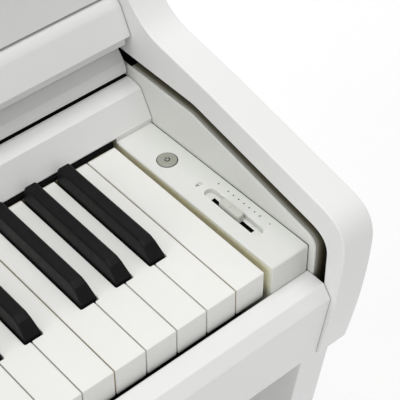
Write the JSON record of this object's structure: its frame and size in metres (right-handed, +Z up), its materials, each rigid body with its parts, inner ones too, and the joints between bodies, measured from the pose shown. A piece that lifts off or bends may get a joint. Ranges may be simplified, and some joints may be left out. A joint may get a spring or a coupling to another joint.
{
  "type": "digital piano on stand",
  "caption": "Satin white cabinet digital piano with sliding key cover, folding music rest, panel legs and a pedal board.",
  "frame": {"origin": "middle of the footprint, on the floor", "axes": "+X to the treble end (the right of a seated player), +Y from the player to the back, +Z up"},
  "size_m": [1.3492, 0.4549, 0.905],
  "materials": {
    "satin_white": "satin white lacquer on board",
    "block_plastic": "fine moulded texture",
    "key_white": "ivory-like matte, finely grained",
    "key_black": "matte, finely grained",
    "button_grey": "satin",
    "dark_plastic": "moulded texture",
    "display_glass": "polished",
    "steel": "brushed",
    "pedal_brass": "polished",
    "felt": "pressed wool felt",
    "bare_board": "unfinished board",
    "circuit_board": "solder mask"
  },
  "bodies": {
    "root": {"arm_left": "satin_white", "arm_right": "satin_white", "key_slip": "satin_white", "fallboard": "satin_white", "front_rail": "satin_white", "upper_panel": "satin_white", "cover_seal": "satin_white", "top_board": "satin_white", "back_board": "satin_white", "music_ledge": "satin_white", "leg_panel_left": "satin_white", "leg_panel_right": "satin_white", "foot_left": "satin_white", "foot_right": "satin_white", "knee_panel": "satin_white", "pedal_board": "satin_white", "slot_lining_left": "block_plastic", "slot_lining_right": "block_plastic", "end_block_left": "block_plastic", "end_block_right": "block_plastic", "speaker_left": "dark_plastic", "speaker_right": "dark_plastic", "jack_panel": "dark_plastic", "power_inlet": "dark_plastic", "headphone_box": "dark_plastic", "pedal_box": "dark_plastic", "display_window": "display_glass", "rest_hinge_left": "steel", "rest_hinge_right": "steel", "key_stop_felt": "felt", "key_bed": "bare_board", "key_frame": "bare_board", "main_board": "circuit_board"},
    "cover_rear": {"cover_rear_leaf": "satin_white"},
    "cover_front": {"cover_front_leaf": "satin_white"},
    "music_rest": {"music_rest": "satin_white"},
    "power_button": {"power_button": "button_grey"},
    "panel_button_1": {"panel_button_1": "button_grey"},
    "panel_button_2": {"panel_button_2": "button_grey"},
    "volume_slider": {"volume_slider": "block_plastic"},
    "pedal_soft": {"pedal_soft": "pedal_brass"},
    "pedal_sostenuto": {"pedal_sostenuto": "pedal_brass"},
    "pedal_damper": {"pedal_damper": "pedal_brass"},
    "pedal_adjuster": {"pedal_adjuster": "dark_plastic"},
    "keys_low": {"keys_A0_to_B2": "key_white"},
    "keys_middle": {"keys_C3_to_B4": "key_white"},
    "keys_high": {"keys_C5_to_B6": "key_white"},
    "key_C7": {"key_C7": "key_white"},
    "key_Cs7": {"key_Cs7": "key_black"},
    "key_D7": {"key_D7": "key_white"},
    "key_Ds7": {"key_Ds7": "key_black"},
    "key_E7": {"key_E7": "key_white"},
    "key_F7": {"key_F7": "key_white"},
    "key_Fs7": {"key_Fs7": "key_black"},
    "key_G7": {"key_G7": "key_white"},
    "key_Gs7": {"key_Gs7": "key_black"},
    "key_A7": {"key_A7": "key_white"},
    "key_As7": {"key_As7": "key_black"},
    "key_B7": {"key_B7": "key_white"},
    "key_C8": {"key_C8": "key_white"}
  },
  "joints": [
    {"name": "cover_slide", "type": "slide", "parent": "root", "child": "cover_rear", "axis": [0, -1, 0], "range_m": [0, 0.197]},
    {"name": "cover_fold", "type": "hinge", "parent": "cover_rear", "child": "cover_front", "pos_m": [0, 0.1062, 0.774], "axis": [1, 0, 0], "range_deg": [0, 11]},
    {"name": "rest_tilt", "type": "hinge", "parent": "root", "child": "music_rest", "pos_m": [0, 0.0231, 0.8963], "axis": [1, 0, 0], "range_deg": [0, 70]},
    {"name": "power_press", "type": "slide", "parent": "root", "child": "power_button", "axis": [0, 0, -1], "range_m": [0, 0.0012], "stiffness_N_per_m": 800, "springref_m": -0.001},
    {"name": "panel_press_1", "type": "slide", "parent": "root", "child": "panel_button_1", "axis": [0, 0, -1], "range_m": [0, 0.0012], "stiffness_N_per_m": 800, "springref_m": -0.001},
    {"name": "panel_press_2", "type": "slide", "parent": "root", "child": "panel_button_2", "axis": [0, 0, -1], "range_m": [0, 0.0012], "stiffness_N_per_m": 800, "springref_m": -0.001},
    {"name": "volume_slide", "type": "slide", "parent": "root", "child": "volume_slider", "axis": [0, 1, 0], "range_m": [-0.016, 0.012]},
    {"name": "pedal_soft_press", "type": "hinge", "parent": "root", "child": "pedal_soft", "pos_m": [-0.066, 0.1046, 0.085], "axis": [1, 0, 0], "range_deg": [0, 4.5], "stiffness_Nm_per_rad": 20, "springref_deg": -8.59},
    {"name": "pedal_sostenuto_press", "type": "hinge", "parent": "root", "child": "pedal_sostenuto", "pos_m": [0, 0.1046, 0.085], "axis": [1, 0, 0], "range_deg": [0, 4.5], "stiffness_Nm_per_rad": 20, "springref_deg": -8.59},
    {"name": "pedal_damper_press", "type": "hinge", "parent": "root", "child": "pedal_damper", "pos_m": [0.066, 0.1046, 0.085], "axis": [1, 0, 0], "range_deg": [0, 4.5], "stiffness_Nm_per_rad": 20, "springref_deg": -8.59},
    {"name": "adjuster_lift", "type": "slide", "parent": "root", "child": "pedal_adjuster", "axis": [0, 0, 1], "range_m": [0, 0.008]},
    {"name": "keys_low_press", "type": "hinge", "parent": "root", "child": "keys_low", "pos_m": [-0.42, 0.0446, 0.7134], "axis": [1, 0, 0], "range_deg": [0, 2.3], "stiffness_Nm_per_rad": 27, "springref_deg": -17.19},
    {"name": "keys_middle_press", "type": "hinge", "parent": "root", "child": "keys_middle", "pos_m": [-0.07, 0.0446, 0.7134], "axis": [1, 0, 0], "range_deg": [0, 2.3], "stiffness_Nm_per_rad": 24, "springref_deg": -17.19},
    {"name": "keys_high_press", "type": "hinge", "parent": "root", "child": "keys_high", "pos_m": [0.26, 0.0446, 0.7134], "axis": [1, 0, 0], "range_deg": [0, 2.3], "stiffness_Nm_per_rad": 24, "springref_deg": -17.19},
    {"name": "key_C7_press", "type": "hinge", "parent": "root", "child": "key_C7", "pos_m": [0.4366, 0.0446, 0.7134], "axis": [1, 0, 0], "range_deg": [0, 2.3], "stiffness_Nm_per_rad": 1, "springref_deg": -17.19},
    {"name": "key_Cs7_press", "type": "hinge", "parent": "root", "child": "key_Cs7", "pos_m": [0.446, 0.0446, 0.7134], "axis": [1, 0, 0], "range_deg": [0, 2.3], "stiffness_Nm_per_rad": 1, "springref_deg": -17.19},
    {"name": "key_D7_press", "type": "hinge", "parent": "root", "child": "key_D7", "pos_m": [0.4602, 0.0446, 0.7134], "axis": [1, 0, 0], "range_deg": [0, 2.3], "stiffness_Nm_per_rad": 1, "springref_deg": -17.19},
    {"name": "key_Ds7_press", "type": "hinge", "parent": "root", "child": "key_Ds7", "pos_m": [0.4744, 0.0446, 0.7134], "axis": [1, 0, 0], "range_deg": [0, 2.3], "stiffness_Nm_per_rad": 1, "springref_deg": -17.19},
    {"name": "key_E7_press", "type": "hinge", "parent": "root", "child": "key_E7", "pos_m": [0.4838, 0.0446, 0.7134], "axis": [1, 0, 0], "range_deg": [0, 2.3], "stiffness_Nm_per_rad": 1, "springref_deg": -17.19},
    {"name": "key_F7_press", "type": "hinge", "parent": "root", "child": "key_F7", "pos_m": [0.5074, 0.0446, 0.7134], "axis": [1, 0, 0], "range_deg": [0, 2.3], "stiffness_Nm_per_rad": 1, "springref_deg": -17.19},
    {"name": "key_Fs7_press", "type": "hinge", "parent": "root", "child": "key_Fs7", "pos_m": [0.516, 0.0446, 0.7134], "axis": [1, 0, 0], "range_deg": [0, 2.3], "stiffness_Nm_per_rad": 1, "springref_deg": -17.19},
    {"name": "key_G7_press", "type": "hinge", "parent": "root", "child": "key_G7", "pos_m": [0.531, 0.0446, 0.7134], "axis": [1, 0, 0], "range_deg": [0, 2.3], "stiffness_Nm_per_rad": 1, "springref_deg": -17.19},
    {"name": "key_Gs7_press", "type": "hinge", "parent": "root", "child": "key_Gs7", "pos_m": [0.543, 0.0446, 0.7134], "axis": [1, 0, 0], "range_deg": [0, 2.3], "stiffness_Nm_per_rad": 1, "springref_deg": -17.19},
    {"name": "key_A7_press", "type": "hinge", "parent": "root", "child": "key_A7", "pos_m": [0.5546, 0.0446, 0.7134], "axis": [1, 0, 0], "range_deg": [0, 2.3], "stiffness_Nm_per_rad": 1, "springref_deg": -17.19},
    {"name": "key_As7_press", "type": "hinge", "parent": "root", "child": "key_As7", "pos_m": [0.5697, 0.0446, 0.7134], "axis": [1, 0, 0], "range_deg": [0, 2.3], "stiffness_Nm_per_rad": 1, "springref_deg": -17.19},
    {"name": "key_B7_press", "type": "hinge", "parent": "root", "child": "key_B7", "pos_m": [0.5782, 0.0446, 0.7134], "axis": [1, 0, 0], "range_deg": [0, 2.3], "stiffness_Nm_per_rad": 1, "springref_deg": -17.19},
    {"name": "key_C8_press", "type": "hinge", "parent": "root", "child": "key_C8", "pos_m": [0.6018, 0.0446, 0.7134], "axis": [1, 0, 0], "range_deg": [0, 2.3], "stiffness_Nm_per_rad": 1, "springref_deg": -17.19}
  ],
  "couplings": [
    {"joint": "cover_fold", "follows": "cover_slide", "rad_per_m": 0.9745}
  ]
}
